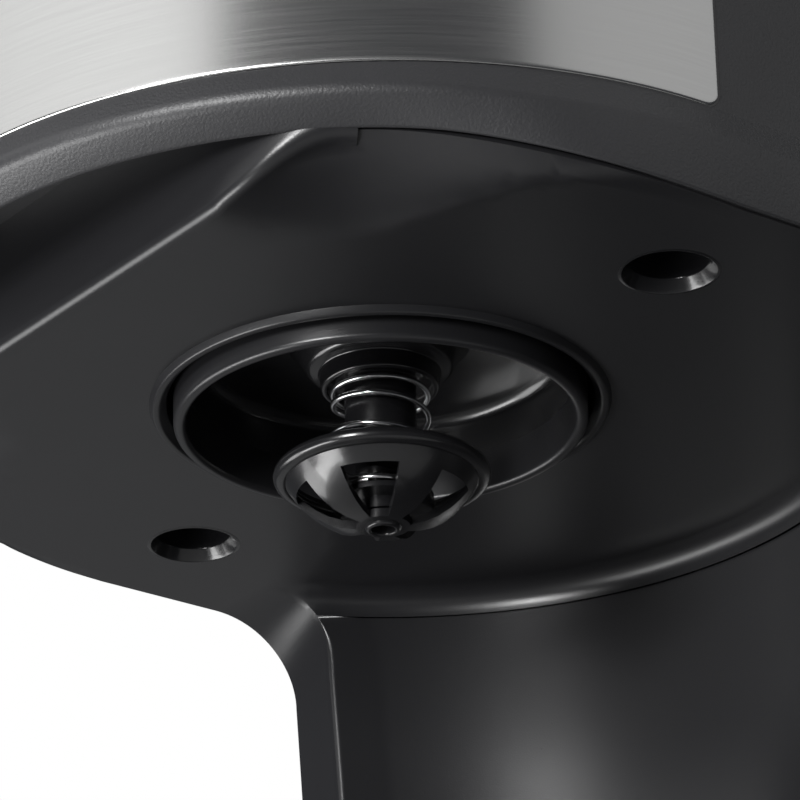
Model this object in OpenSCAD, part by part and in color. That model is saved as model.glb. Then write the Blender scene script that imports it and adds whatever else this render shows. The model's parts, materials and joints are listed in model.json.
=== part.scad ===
// Drip coffee maker: C-shaped body with a brew head over a jug bay, a tank behind it,
// a flow heater in the base and a spring-loaded drip-stop under the filter basket.
// Frame: millimetres, Z up, origin on the table under the centre of the outline,
// front of the machine at -Y.

/* [Body] */
// Radius of the round front of the head and base, and half the body width
head_r = 79.5; // [76:0.5:84]
// Distance from the brew axis back to the rear face
rear_reach = 149.5; // [140:0.5:165]
// Height of the head's underside above the table
plate_z = 212; // [205:1:230]
// Height of the head's underside to the top of the body wall
head_h = 108; // [106:1:116]
// Height of the base
base_h = 30; // [30:1:34]
// Thickness of the lid
lid_h = 17; // [16:0.5:20]
// Wall thickness of the outer body
shell_t = 3.5; // [3:0.1:4]
// Wall thickness of the inner mouldings
liner_t = 2.5; // [2:0.1:2.8]

/* [Steel band] */
// Height of the band's lower edge above the underside
band_low = 15.4; // [12:0.2:20]
// Height of the band itself
band_h = 78; // [60:1:82]
// Sheet thickness of the band
band_t = 0.75; // [0.5:0.05:1]

/* [Jug bay] */
// Radius of the concave bay wall
bay_r = 70; // [66:0.5:72]
// How far the bay's centre lies behind the brew axis
bay_back = 4.8; // [3:0.1:6]
// Fillet radius between the underside and the column
bay_fillet = 14; // [10:0.5:16]

/* [Filter basket] */
// Radius of the hole in the underside
hole_r = 31.7; // [31:0.1:33]
// Outer radius of the basket's bottom skirt
skirt_r = 30.7; // [30:0.1:30.8]
// How far the skirt stands below the underside
skirt_drop = 3.6; // [2:0.1:5]
// Radius of the basket at its top
basket_r = 59; // [56:0.5:60]

/* [Drip-stop] */
// Radius of the windowed cap
cap_r = 16.1; // [14:0.1:18]
// Number of windows in the cap
cap_windows = 5; // [4:1:8]
// Travel of the drip-stop
valve_travel = 7; // [4:0.5:7]
// Mean radius of the spring
spring_r = 7.1; // [6.6:0.1:7.4]
// Diameter of the spring wire
spring_wire = 0.9; // [0.7:0.1:1.1]
// Radius of the fluted stem
stem_r = 3.95; // [3.9:0.01:3.97]

/* [Hidden] */

brew_y = head_r - (head_r + rear_reach) / 2;
back_y = brew_y + rear_reach;
bay_y = brew_y + bay_back;
body_top = plate_z + head_h;
lid_top = body_top + lid_h;
inner_r = head_r - shell_t;
corner_r = 14;
gap = 0.1;

// Rear cover and hinge
cover_y = back_y - 16.5;
hinge_y = back_y - 22.5;
hinge_z = lid_top - lid_h / 2;
hinge_r = lid_h / 2;
knuckle_x = 60;
pin_r = 2;
pin_run = 0.06;

// Column and tank
column_front = brew_y + 41.3;
cheek_x = 62.4;
cheek_y = brew_y + 36.5;
arc_start = atan2(cheek_y - bay_y, cheek_x);
tank_front = column_front + 51.7;
tank_back = back_y - 6.5;
tank_left = -72;
tank_right = 62;
tank_floor = 60;
deck_z = body_top - 16;
outlet_x = 22;
outlet_y = tank_front + 17;
gauge_x = 69.2;
gauge_y = tank_front + 12;
gauge_low = 70;
gauge_high = 290;

// Underside, wells and front recess
well_x = 58.7;
well_y = brew_y + 7;
well_r = 6.5;
well_h = 20;
ridge_y = brew_y - 56;
recess_h = 22;
rise_h = 7;

// Base: opening for the hoses, screw posts and feet
hatch_front = column_front + 37.2;
hatch_back = outlet_y + 11;
post_x = [-30, 30];
post_y = [-96, 92];
foot_x = [-52, 52];
foot_y = [-70, 85];

// Filter basket
basket_floor = plate_z + 10;
ledge_z = deck_z - 8;
guide_low = plate_z - 8;
spring_top = plate_z + 2.5;

// Drip-stop
cap_rim = plate_z - 10.5;
hub_low = plate_z - 20;
hub_top = guide_low - valve_travel - 0.5;
seal_z = basket_floor + liner_t;
seat_r = 7.6;
seat_z = hub_top - 0.8;
socket_r = 5.6;
window_turn = 26.5;
dome_power = 2.8;

// Base and water path
heater_r = 44;
heater_z = 12;
pipe_z = 18;
pipe_r = 5;
bend_r = 12;
pipe_x = 22;
heater_out_y = brew_y + 55;
riser_y = heater_out_y + 18.5 + bend_r;
button_z = 15.6;
button_r = 7;
bezel_r = button_r + 1.6;
lens_r = 1.3;
lens_z = base_h - 4;
gland_x = 45;
gland_z = 16;

black = [0.075, 0.075, 0.08];
soft_black = [0.11, 0.11, 0.115];
gloss_black = [0.03, 0.03, 0.033];
steel = [0.72, 0.72, 0.73];

// Outline of the machine in plan: round front, straight sides, rounded rear corners
module outline(r, back, corner) {
    translate([0, brew_y]) circle(r = r, $fn = 180);
    translate([-r, brew_y]) square([2 * r, back - corner - brew_y]);
    translate([corner - r, 0]) square([2 * (r - corner), back]);
    for (side = [-1, 1]) translate([side * (r - corner), back - corner]) circle(r = corner, $fn = 48);
}

// Solid prism of the outline, inset from the outer face, between two heights
module slab(inset, low, high) {
    translate([0, 0, low]) linear_extrude(high - low)
        outline(head_r - inset, back_y - inset, corner_r - inset);
}

// Ring sector about a vertical axis
module ring(r_in, r_out, low, high, from = 0, sweep = 360) {
    translate([0, 0, low]) rotate([0, 0, from]) rotate_extrude(angle = sweep, $fn = 128)
        translate([r_in, 0]) square([r_out - r_in, high - low]);
}

module disc(r, low, high) {
    translate([0, 0, low]) cylinder(r = r, h = high - low, $fn = 64);
}

// Round bar along Y
module bar_y(r, x, z, from, to) {
    translate([x, from, z]) rotate([-90, 0, 0]) cylinder(r = r, h = to - from, $fn = 48);
}

// Side view of the space in front of the column and under the head, cut through along X
module bay_profile() {
    swell = 3;
    rise = [for (t = [0:0.1:1]) [brew_y - 42 * (1 - t), plate_z + rise_h * (1 + cos(180 * t)) / 2]];
    top_arc = [for (a = [90:-10:0])
        [column_front - bay_fillet + bay_fillet * cos(a), plate_z - bay_fillet + bay_fillet * sin(a)]];
    front = [for (t = [0.1:0.1:0.9])
        [column_front + swell * sin(180 * t),
         (plate_z - bay_fillet) * (1 - t) + (base_h + bay_fillet) * t]];
    foot_arc = [for (a = [0:-10:-90])
        [column_front - bay_fillet + bay_fillet * cos(a), base_h + bay_fillet + bay_fillet * sin(a)]];
    start = [[-2 * head_r, base_h - 1], [-2 * head_r, plate_z + rise_h]];
    foot = [[column_front - bay_fillet, base_h - 1]];
    translate([-head_r - 1, 0, 0]) rotate([90, 0, 90]) linear_extrude(2 * head_r + 2)
        polygon(concat(start, rise, top_arc, front, foot_arc, foot));
}

module base_shell() {
    color(black) difference() {
        slab(0, 4, base_h);
        slab(liner_t, 3, base_h - 3);
        translate([0, brew_y, 0]) disc(58, base_h - 4, base_h + 1);
        translate([-34, hatch_front, base_h - 4]) cube([68, hatch_back - hatch_front, 5]);
        bar_y(bezel_r, 0, button_z, -back_y - 1, -back_y + 8);
        bar_y(lens_r + gap, 0, lens_z, -back_y - 1, -back_y + 8);
        bar_y(6, gland_x, gland_z, back_y - 6, back_y + 1);
    }
    for (x = post_x, y = post_y) color(black) translate([x, y, 0]) difference() {
        disc(4, 6.6, base_h - 3);
        disc(1.4, 6, 18);
    }
}

module base_cover() {
    color(black) difference() {
        slab(liner_t + 0.3, 4, 6.5);
        for (x = post_x, y = post_y) translate([x, y, 0]) {
            disc(1.8, 3, 7);
            disc(3.6, 3, 5.2);
        }
        for (x = foot_x, y = foot_y) translate([x, y, 0]) disc(8.1, 3, 5);
        for (i = [-3:3]) translate([i * 9 - 2, 20, 3]) cube([4, 40, 5]);
    }
}

module rubber_feet() {
    color([0.05, 0.05, 0.05]) for (x = foot_x, y = foot_y) translate([x, y, 0]) {
        disc(8, 1, 5);
        cylinder(r1 = 7, r2 = 8, h = 1, $fn = 64);
    }
}

module base_screws() {
    color(steel) for (x = post_x, y = post_y) translate([x, y, 0]) difference() {
        union() {
            disc(3.4, 4.2, 5.2);
            disc(1.4, 5, 17);
        }
        for (a = [0, 90]) rotate([0, 0, a]) translate([-2, -0.4, 4]) cube([4, 0.8, 0.6]);
    }
}

module jug_stand() {
    color(steel) translate([0, brew_y, 0]) difference() {
        union() {
            disc(62, base_h, base_h + 2.6);
            ring(52, 57.8, base_h - 3, base_h + 1);
        }
        disc(58, base_h + 1.4, base_h + 4);
        disc(50, base_h - 4, base_h - 0.1);
    }
}

// Open ring of cast aluminium with a round water channel, and a pipe stub at each end
module flow_heater() {
    open = 60;
    stub_y = brew_y + heater_r * cos(open / 2) - 4;
    color([0.62, 0.62, 0.63]) difference() {
        union() {
            translate([0, brew_y, 0])
                ring(heater_r - 7, heater_r + 7, heater_z, heater_z + 12, 90 + open / 2, 360 - open);
            for (side = [-1, 1]) bar_y(4.6, side * pipe_x, pipe_z, stub_y, heater_out_y);
        }
        translate([0, brew_y, pipe_z]) rotate([0, 0, 90 + open / 2])
            rotate_extrude(angle = 360 - open, $fn = 96) translate([heater_r, 0]) circle(r = 3.5, $fn = 32);
        for (side = [-1, 1]) bar_y(3.2, side * pipe_x, pipe_z, stub_y + 1.5, heater_out_y + 1);
    }
}

module heater_clamps() {
    color(steel) for (side = [-1, 1]) translate([side * heater_r, brew_y, 0]) {
        translate([-10, -6, 6.5]) cube([20, 12, heater_z - 6.5]);
        for (edge = [-10, 8]) translate([edge, -6, heater_z]) cube([2, 12, 13.5]);
        translate([-10, -6, heater_z + 12]) cube([20, 12, 1.5]);
    }
}

module thermostat() {
    color([0.55, 0.55, 0.56]) translate([0, brew_y - heater_r, 0]) {
        disc(6.5, heater_z + 12, heater_z + 14.8);
    }
}

module thermal_fuse() {
    color([0.86, 0.85, 0.8]) translate([-14, brew_y - heater_r + 3, heater_z - 2]) rotate([0, 90, 0])
        cylinder(r = 2, h = 28, $fn = 32);
}

// Hose from below the tank down, round one bend and forward to the check valve
module inlet_hose() {
    top = tank_floor - 4;
    color([0.8, 0.8, 0.78, 0.6]) difference() {
        hose_path(pipe_r, outlet_x, outlet_y, top, heater_out_y + 18);
        hose_path(3.6, outlet_x, outlet_y, top + 1, heater_out_y + 17);
    }
}

// Vertical run at (x, y), a quarter bend and a run forward to y = stop
module hose_path(r, x, y, top, stop) {
    translate([x, y, pipe_z + bend_r]) cylinder(r = r, h = top - pipe_z - bend_r, $fn = 48);
    translate([x, y - bend_r, pipe_z + bend_r]) rotate([0, 90, 0]) rotate_extrude(angle = 90, $fn = 64)
        translate([bend_r, 0]) circle(r = r, $fn = 48);
    bar_y(r, x, pipe_z, stop, y - bend_r);
}

module valve_housing() {
    low = heater_out_y;
    color([0.85, 0.85, 0.83]) difference() {
        union() {
            bar_y(7.5, pipe_x, pipe_z, low - 6, low + 14);
            bar_y(3.6, pipe_x, pipe_z, low + 14, low + 24);
        }
        bar_y(4.6, pipe_x, pipe_z, low - 7, low);
        bar_y(3, pipe_x, pipe_z, low - 1, low + 25);
        bar_y(5, pipe_x, pipe_z, low + 1.5, low + 12.5);
    }
}

module valve_ball() {
    color([0.75, 0.1, 0.08]) translate([pipe_x, heater_out_y + 9, pipe_z]) sphere(r = 4.4, $fn = 48);
}

module riser_hose() {
    top = deck_z - 12;
    color([0.8, 0.8, 0.78, 0.6]) difference() {
        hose_path(pipe_r, -pipe_x, riser_y, top, heater_out_y - 5);
        hose_path(3.6, -pipe_x, riser_y, top + 1, heater_out_y);
        bar_y(4.6, -pipe_x, pipe_z, heater_out_y - 6, heater_out_y);
    }
}

module hose_clips() {
    color(steel) {
        clip_y(-pipe_x, heater_out_y - 3.5);
        clip_y(outlet_x, heater_out_y + 20);
        translate([outlet_x, outlet_y, 0]) ring(pipe_r, pipe_r + 1, tank_floor - 9, tank_floor - 6);
        translate([-pipe_x, riser_y, 0]) ring(pipe_r, pipe_r + 1, deck_z - 17, deck_z - 14);
    }
}

module clip_y(x, y) {
    translate([x, y, pipe_z]) rotate([-90, 0, 0]) ring(pipe_r, pipe_r + 1, 0, 3);
}

module power_button() {
    face = -back_y + 0.5;
    color(gloss_black) {
        bar_y(button_r, 0, button_z, face, face + 9);
        bar_y(button_r + 1.2, 0, button_z, face + 6, face + 7.4);
    }
}

module button_bezel() {
    face = -back_y + 0.3;
    color(steel) difference() {
        bar_y(bezel_r, 0, button_z, face, face + 4.5);
        bar_y(button_r + 0.3, 0, button_z, face - 1, face + 6);
    }
}

module power_switch() {
    face = -back_y + 12.5;
    color([0.2, 0.2, 0.2]) difference() {
        translate([-9, face, 7.2]) cube([18, 10, 14.6]);
        bar_y(2.2, 0, button_z, face - 1, face + 3);
    }
    color(steel) for (x = [-4, 4]) translate([x - 1, face + 10, 12]) cube([2, 3, 5]);
}

module indicator_lens() {
    color([0.75, 0.12, 0.08]) bar_y(lens_r, 0, lens_z, -back_y + 0.2, -back_y + 6);
}

module terminal_block() {
    color([0.85, 0.83, 0.75]) difference() {
        translate([gland_x - 12, back_y - 40, 6.5]) cube([24, 12, 10]);
        for (i = [-1:1]) translate([gland_x + 7 * i, back_y - 34, 12]) disc(1.8, 0, 6);
    }
}

module cord_gland() {
    color([0.05, 0.05, 0.05]) difference() {
        union() {
            bar_y(5.95, gland_x, gland_z, back_y - 9, back_y - 0.1);
            bar_y(8, gland_x, gland_z, back_y - 9, back_y - 5);
        }
        bar_y(3.6, gland_x, gland_z, back_y - 10, back_y + 1);
    }
}

module body_shell() {
    color(soft_black) difference() {
        slab(0, base_h, body_top);
        slab(shell_t, base_h - 1, body_top + 1);
        translate([-head_r - 1, cover_y, base_h - 1]) cube([2 * head_r + 2, 60, body_top]);
        bay_profile();
        translate([0, brew_y, 0]) ring(head_r - 2, head_r + 2, plate_z + band_low,
            plate_z + band_low + band_h, 179.5, 181);
        translate([inner_r - 1, gauge_y - 6, 80]) cube([6, 12, 200]);
    }
}

module rear_cover() {
    color(soft_black) difference() {
        intersection() {
            slab(0, base_h, body_top);
            translate([-head_r - 1, cover_y + gap, base_h]) cube([2 * head_r + 2, 60, head_h + plate_z]);
        }
        slab(shell_t, base_h - 1, body_top + 1);
        for (i = [0:6]) translate([-24, back_y - 6, 44 + 7 * i]) cube([48, 10, 3]);
    }
}

// Concave wall of the jug bay with the two flat cheeks beside it
module bay_wall() {
    color(black) {
        translate([0, bay_y, 0])
            ring(bay_r, bay_r + liner_t, base_h, plate_z - 4.1, arc_start, 180 - 2 * arc_start);
        for (side = [0, 1]) mirror([side, 0, 0]) translate([0, 0, base_h])
            linear_extrude(plate_z - bay_fillet - base_h)
            polygon([[cheek_x, cheek_y], [inner_r - gap, column_front - 1.2],
                [inner_r - gap, column_front + 1.6], [cheek_x + 0.8, cheek_y + liner_t + 0.8]]);
    }
}

// Underside of the head: flat plate with the basket hole, two screw wells, a turned-down
// rear lip and fillets that run down to the cheeks, and a recess along the front
module underside_plate() {
    color(black) difference() {
        union() {
            plate_blank();
            translate([0, brew_y, 0]) bead();
            for (side = [-1, 1]) translate([side * well_x, well_y, 0])
                disc(well_r + 1.5, plate_z, plate_z + well_h);
        }
        translate([0, brew_y, 0]) disc(hole_r, plate_z - 5, plate_z + 5);
        for (side = [-1, 1]) translate([side * well_x, well_y, 0]) {
            disc(well_r, plate_z - 1, plate_z + well_h - 2);
            disc(2, plate_z, plate_z + well_h + 1);
        }
    }
}

module bead() {
    rotate_extrude($fn = 128) translate([hole_r, plate_z]) intersection() {
        translate([1.15, 0.3]) circle(r = 1.4, $fn = 32);
        translate([0, -2]) square([3, 2.5]);
    }
}

module plate_blank() {
    difference() {
        intersection() {
            slab(shell_t + gap, plate_z, plate_z + liner_t);
            union() {
                translate([0, bay_y, 0]) disc(bay_r + liner_t / 2, plate_z - 1, plate_z + 5);
                translate([-head_r, ridge_y, plate_z - 1]) cube([2 * head_r, column_front + 2.6 - ridge_y, 5]);
            }
        }
        translate([-head_r, -2 * head_r, plate_z - 1]) cube([2 * head_r, 2 * head_r + ridge_y, 5]);
    }
    translate([0, bay_y, 0])
        ring(bay_r, bay_r + liner_t, plate_z - 4, plate_z + liner_t + 0.4, arc_start, 180 - 2 * arc_start);
    front_recess();
    for (side = [0, 1]) mirror([side, 0, 0]) cheek_fillet();
}

// Upright wall behind the recess, its ceiling, and the upstand inside the front of the body wall
module front_recess() {
    intersection() {
        slab(shell_t + gap, plate_z, plate_z + recess_h + liner_t);
        union() {
            translate([-head_r, ridge_y, plate_z]) cube([2 * head_r, liner_t, recess_h + liner_t]);
            translate([-head_r, -2 * head_r, plate_z + recess_h])
                cube([2 * head_r, 2 * head_r + ridge_y + 1, liner_t]);
        }
    }
    for (side = [0, 1]) mirror([side, 0, 0]) translate([0, brew_y, 0])
        ring(inner_r - liner_t - gap, inner_r - 3 * gap, plate_z + gap, plate_z + 12, -47.3, 46.3);
}

module cheek_fillet() {
    front = column_front - bay_fillet;
    difference() {
        translate([cheek_x - 4, front + 2, plate_z - bay_fillet])
            cube([inner_r - gap - cheek_x + 4, bay_fillet + 0.6, bay_fillet + 1]);
        translate([0, front, plate_z - bay_fillet]) rotate([0, 90, 0])
            cylinder(r = bay_fillet, h = head_r, $fn = 96);
        translate([0, bay_y, 0]) disc(bay_r + 0.6, plate_z - 20, plate_z + 10);
        translate([0, bay_y, 0]) ring(bay_r - 1, bay_r + liner_t + gap, plate_z - 20, plate_z - 3.8,
            arc_start - 0.6, 50);
    }
}

module underside_screws() {
    color(steel) for (side = [-1, 1]) translate([side * well_x, well_y, 0]) difference() {
        union() {
            disc(3.6, plate_z + well_h - 4.6, plate_z + well_h - 2);
            disc(1.5, plate_z + well_h - 3, plate_z + well_h + 7);
        }
        for (a = [0, 90]) rotate([0, 0, a]) translate([-2.2, -0.45, plate_z + well_h - 5]) cube([4.4, 0.9, 1.6]);
    }
}

module steel_band() {
    color(steel) translate([0, brew_y, 0])
        ring(head_r - 2, head_r - 2 + band_t, plate_z + band_low, plate_z + band_low + band_h, 179.5, 181);
}

module water_tank() {
    color([0.8, 0.82, 0.85, 0.5]) difference() {
        union() {
            tank_block(0, tank_floor, deck_z);
            translate([outlet_x, outlet_y, 0]) disc(3.6, tank_floor - 14, tank_floor);
        }
        tank_block(liner_t, tank_floor + liner_t, deck_z + 1);
        translate([outlet_x, outlet_y, 0]) disc(2.4, tank_floor - 15, tank_floor + 4);
    }
}

module tank_block(inset, low, high) {
    r = 8 - inset;
    translate([0, 0, low]) linear_extrude(high - low) {
        translate([tank_left + inset, tank_front + 8])
            square([tank_right - tank_left - 2 * inset, tank_back - tank_front - 16]);
        translate([tank_left + 8, tank_front + inset])
            square([tank_right - tank_left - 16, tank_back - tank_front - 2 * inset]);
        for (x = [tank_left + 8, tank_right - 8], y = [tank_front + 8, tank_back - 8])
            translate([x, y]) circle(r = r, $fn = 40);
    }
}

module tank_strainer() {
    color([0.85, 0.85, 0.85]) translate([outlet_x, outlet_y, 0]) difference() {
        disc(8, tank_floor + liner_t, tank_floor + liner_t + 4);
        disc(7, tank_floor + liner_t - 1, tank_floor + liner_t + 3);
        for (a = [0:60:300]) rotate([0, 0, a]) translate([4.5, 0, 0]) disc(1, tank_floor, tank_floor + 9);
    }
}

module tank_seal() {
    color([0.7, 0.7, 0.68]) translate([outlet_x, outlet_y, 0])
        ring(3.6, 9, tank_floor - 3.6, tank_floor);
}

module gauge_tube() {
    color([0.85, 0.87, 0.9, 0.4]) difference() {
        translate([gauge_x, gauge_y, 0]) disc(6.2, gauge_low, gauge_high);
        translate([gauge_x, gauge_y, 0]) disc(4.8, gauge_low + 2, gauge_high - 2);
    }
}

module level_window() {
    color([0.8, 0.82, 0.85, 0.4]) translate([inner_r - 0.2, gauge_y - 5.9, 80.1]) cube([shell_t, 11.8, 199.8]);
}

module float_ball() {
    color([0.8, 0.1, 0.08]) translate([gauge_x, gauge_y, gauge_low + 7]) sphere(r = 4, $fn = 48);
}

// Cylindrical well of the head that carries the basket on an inner ledge
module brew_chamber() {
    low = plate_z + well_h + 8;
    color(soft_black) difference() {
        union() {
            translate([0, brew_y, 0]) {
                ring(64.8, 67.3, low, deck_z - liner_t);
                ring(60.4, 66, ledge_z - liner_t, ledge_z);
                ring(42, 66, low, low + liner_t);
                ring(65, inner_r - gap, deck_z - liner_t, deck_z);
            }
            for (side = [-1, 1]) translate([side * well_x, well_y, 0]) disc(5, plate_z + well_h, low + 1);
        }
        for (side = [-1, 1]) translate([side * well_x, well_y, 0])
            disc(1.5, plate_z + well_h - 1, plate_z + well_h + 7.2);
    }
}

module top_deck() {
    color(soft_black) difference() {
        slab(shell_t + gap, deck_z, deck_z + liner_t);
        translate([0, brew_y, 0]) disc(64, deck_z - 1, deck_z + 4);
        tank_block(liner_t + 2, deck_z - 1, deck_z + 4);
        translate([-pipe_x, riser_y, 0]) disc(7, deck_z - 1, deck_z + 4);
    }
}

// Conical filter basket with a bottom skirt, a stepped boss and a guide tube for the stem
module filter_basket() {
    wall = 2;
    flange = 4;
    color(gloss_black) translate([0, brew_y, 0]) rotate_extrude($fn = 128) polygon([
        [stem_r + 0.05, guide_low], [5.2, guide_low], [5.2, spring_top], [8.8, spring_top],
        [8.8, plate_z + 5.5], [10.7, plate_z + 5.5], [10.7, basket_floor],
        [skirt_r - wall, basket_floor], [skirt_r - wall, plate_z - skirt_drop],
        [skirt_r, plate_z - skirt_drop], [skirt_r, basket_floor + 2], [basket_r, ledge_z],
        [basket_r + flange, ledge_z], [basket_r + flange, ledge_z + 2],
        [basket_r - wall, ledge_z + 2], [skirt_r - wall, basket_floor + liner_t],
        [stem_r + 0.05, basket_floor + liner_t]]);
}

module basket_screw() {
    color(steel) translate([13, brew_y + 14, 0]) difference() {
        disc(2, basket_floor - 1.6, basket_floor);
        for (a = [0, 90]) rotate([0, 0, a]) translate([-1.2, -0.3, basket_floor - 2]) cube([2.4, 0.6, 1]);
    }
}

module valve_stem() {
    top = seal_z + 4;
    color(gloss_black) translate([0, brew_y, 0]) difference() {
        union() {
            disc(stem_r, hub_low + 2, top);
            disc(seat_r, seat_z, hub_top);
        }
        for (a = [0:90:270]) rotate([0, 0, a]) translate([1.4, 1.4, guide_low - 1.5])
            cube([4, 4, seal_z - guide_low + 1]);
    }
}

// Cap like a small umbrella upside down: rounded rim, curved wall with wedge-shaped windows,
// a socket for the stem and a small ring at the lowest point
module valve_cap() {
    wall = 1.2;
    function dome(r) = hub_low + (cap_rim - hub_low - 1.6) * pow(r / (cap_r - 1.4), dome_power);
    outer = [for (r = [0:1.47:cap_r - 1.3]) [r, dome(r)]];
    inner = [for (r = [cap_r - 1.4:-1.47:0]) [r, dome(r) + wall]];
    color(gloss_black) translate([0, brew_y, 0]) {
        rotate_extrude($fn = 96) translate([cap_r - 1.3, cap_rim]) circle(r = 1.3, $fn = 32);
        difference() {
            union() {
                rotate_extrude($fn = 96) polygon(concat(outer, inner));
                disc(socket_r, hub_low + 0.8, seat_z);
                disc(2.5, hub_low - 0.5, hub_low + 1);
            }
            for (i = [0:cap_windows - 1]) rotate([0, 0, window_turn + i * 360 / cap_windows]) window();
            disc(stem_r + 0.02, hub_low + 2, cap_rim + 2);
            disc(1.6, hub_low - 2, cap_rim);
            disc(seat_r + gap, seat_z, cap_rim - 0.5);
        }
    }
}

module window() {
    half = 0.57 * 180 / cap_windows;
    low = socket_r + 0.3;
    high = cap_r - 3.4;
    translate([0, 0, hub_low - 2]) linear_extrude(20) polygon(concat(
        [for (a = [-half:half / 3:half]) [high * cos(a), high * sin(a)]],
        [for (a = [half:-half / 3:-half]) [low * cos(a), low * sin(a)]]));
}

module valve_seal() {
    color([0.6, 0.6, 0.58]) translate([0, brew_y, 0]) ring(stem_r, 8.5, seal_z, seal_z + 2.2);
}

// Compression spring: a wire swept along a helix with closed end coils
module valve_spring() {
    turns = 5;
    steps = 20;
    sides = 8;
    low = hub_top + spring_wire / 2 + 0.05;
    high = spring_top - spring_wire / 2 - 0.05;
    count = turns * steps;
    function climb(t) = low + (high - low) * (t - sin(360 * t) * 0.09);
    points = [for (i = [0:count], k = [0:sides - 1])
        let (turn = 360 * turns * i / count, a = 360 * k / sides, r = spring_r + spring_wire / 2 * cos(a))
        [r * cos(turn), r * sin(turn), climb(i / count) + spring_wire / 2 * sin(a)]];
    walls = [for (i = [0:count - 1], k = [0:sides - 1])
        let (n = (k + 1) % sides)
        [i * sides + k, (i + 1) * sides + k, (i + 1) * sides + n, i * sides + n]];
    ends = [[for (k = [0:sides - 1]) k], [for (k = [sides - 1:-1:0]) count * sides + k]];
    color(steel) translate([0, brew_y, 0]) polyhedron(points = points, faces = concat(walls, ends));
}

module riser_spout() {
    color([0.85, 0.85, 0.83]) translate([-pipe_x, riser_y, 0]) difference() {
        union() {
            disc(3.6, deck_z - 22, deck_z);
            disc(6.8, deck_z - 12, deck_z + 3);
            disc(9, deck_z + liner_t, deck_z + liner_t + 1);
        }
        disc(2.6, deck_z - 23, deck_z + 4);
    }
}

module spout_seal() {
    color([0.75, 0.75, 0.72]) translate([-pipe_x, riser_y, 0])
        ring(2.8, 6, deck_z + liner_t + 1, deck_z + liner_t + 2.4);
}

// Fixed rear part of the top, with an ear on each side that holds a hinge pin
module hinge_bridge() {
    color(soft_black) difference() {
        union() {
            intersection() {
                slab(0, body_top, lid_top);
                translate([-head_r - 1, hinge_y + 9, body_top]) cube([2 * head_r + 2, 60, lid_h]);
            }
            for (side = [0, 1]) mirror([side, 0, 0]) translate([knuckle_x + 0.5, hinge_y, 0]) {
                translate([0, 0, hinge_z]) rotate([0, 90, 0])
                    cylinder(r = hinge_r, h = head_r - knuckle_x - 0.8, $fn = 64);
                translate([0, 0, body_top]) cube([head_r - knuckle_x - 0.8, 10, lid_h]);
            }
        }
        translate([3 - inner_r, hinge_y, hinge_z]) rotate([0, 90, 0])
            cylinder(r = pin_r, h = 2 * inner_r - 6, $fn = 48);
        translate([10 - knuckle_x, hinge_y + 12, body_top - 1]) cube([2 * knuckle_x - 20, 7, lid_h - 2]);
    }
}

module hinge_pins() {
    color(steel) for (side = [0, 1]) mirror([side, 0, 0]) translate([knuckle_x - 9, hinge_y, hinge_z])
        rotate([0, 90, 0]) cylinder(r = pin_r, h = inner_r - knuckle_x + 6, $fn = 48);
}

module lid_shell() {
    color(soft_black) difference() {
        union() {
            difference() {
                slab(0, body_top + 0.4, lid_top);
                slab(3, body_top - 1, lid_top - 3);
                translate([-head_r - 1, hinge_y - 10, body_top]) cube([2 * head_r + 2, 80, lid_h + 1]);
            }
            translate([-knuckle_x, hinge_y, hinge_z]) rotate([0, 90, 0])
                cylinder(r = hinge_r - 0.2, h = 2 * knuckle_x, $fn = 64);
            translate([-knuckle_x, hinge_y - 13, body_top + 0.4]) cube([2 * knuckle_x, 13, lid_h - 0.6]);
            translate([3 - head_r, hinge_y - 13, body_top + 0.4]) cube([2 * head_r - 6, 3, lid_h - 1]);
        }
        for (side = [0, 1]) mirror([side, 0, 0]) translate([knuckle_x - 10, hinge_y, hinge_z])
            rotate([0, 90, 0]) cylinder(r = pin_r + pin_run, h = 12, $fn = 48);
    }
}

module lid_liner() {
    color([0.2, 0.2, 0.21]) difference() {
        slab(3.3, body_top + 0.4, body_top + 2.4);
        translate([-head_r - 1, hinge_y - 13.3, body_top - 1]) cube([2 * head_r + 2, 80, 6]);
    }
}

// Duct under the lid from the spout to above the basket
module shower_channel() {
    run = riser_y - brew_y;
    turn = atan2(-pipe_x, run);
    low = deck_z + liner_t + 2.6;
    color([0.2, 0.2, 0.21]) difference() {
        union() {
            translate([0, brew_y, 0]) disc(26, low, body_top + 0.4);
            translate([0, brew_y, 0]) rotate([0, 0, -turn]) translate([-7, 0, low])
                cube([14, norm([run, pipe_x]), body_top + 0.4 - low]);
            translate([-pipe_x, riser_y, 0]) disc(8, low, body_top + 0.4);
        }
        translate([0, brew_y, 0]) disc(24, low - 1, body_top - 2);
        translate([0, brew_y, 0]) rotate([0, 0, -turn]) translate([-5, 10, low + 2])
            cube([10, norm([run, pipe_x]) - 10, body_top - low - 4]);
        translate([-pipe_x, riser_y, 0]) disc(3, low - 1, low + 4);
    }
}

module shower_plate() {
    low = deck_z + liner_t + 2.6;
    color(steel) translate([0, brew_y, 0]) difference() {
        disc(23.9, low, low + 1.2);
        for (i = [0:7]) rotate([0, 0, i * 45]) translate([17, 0, 0]) disc(1.2, low - 1, low + 3);
        for (i = [0:3]) rotate([0, 0, i * 90]) translate([9, 0, 0]) disc(1.2, low - 1, low + 3);
        disc(1.2, low - 1, low + 3);
    }
}

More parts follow.
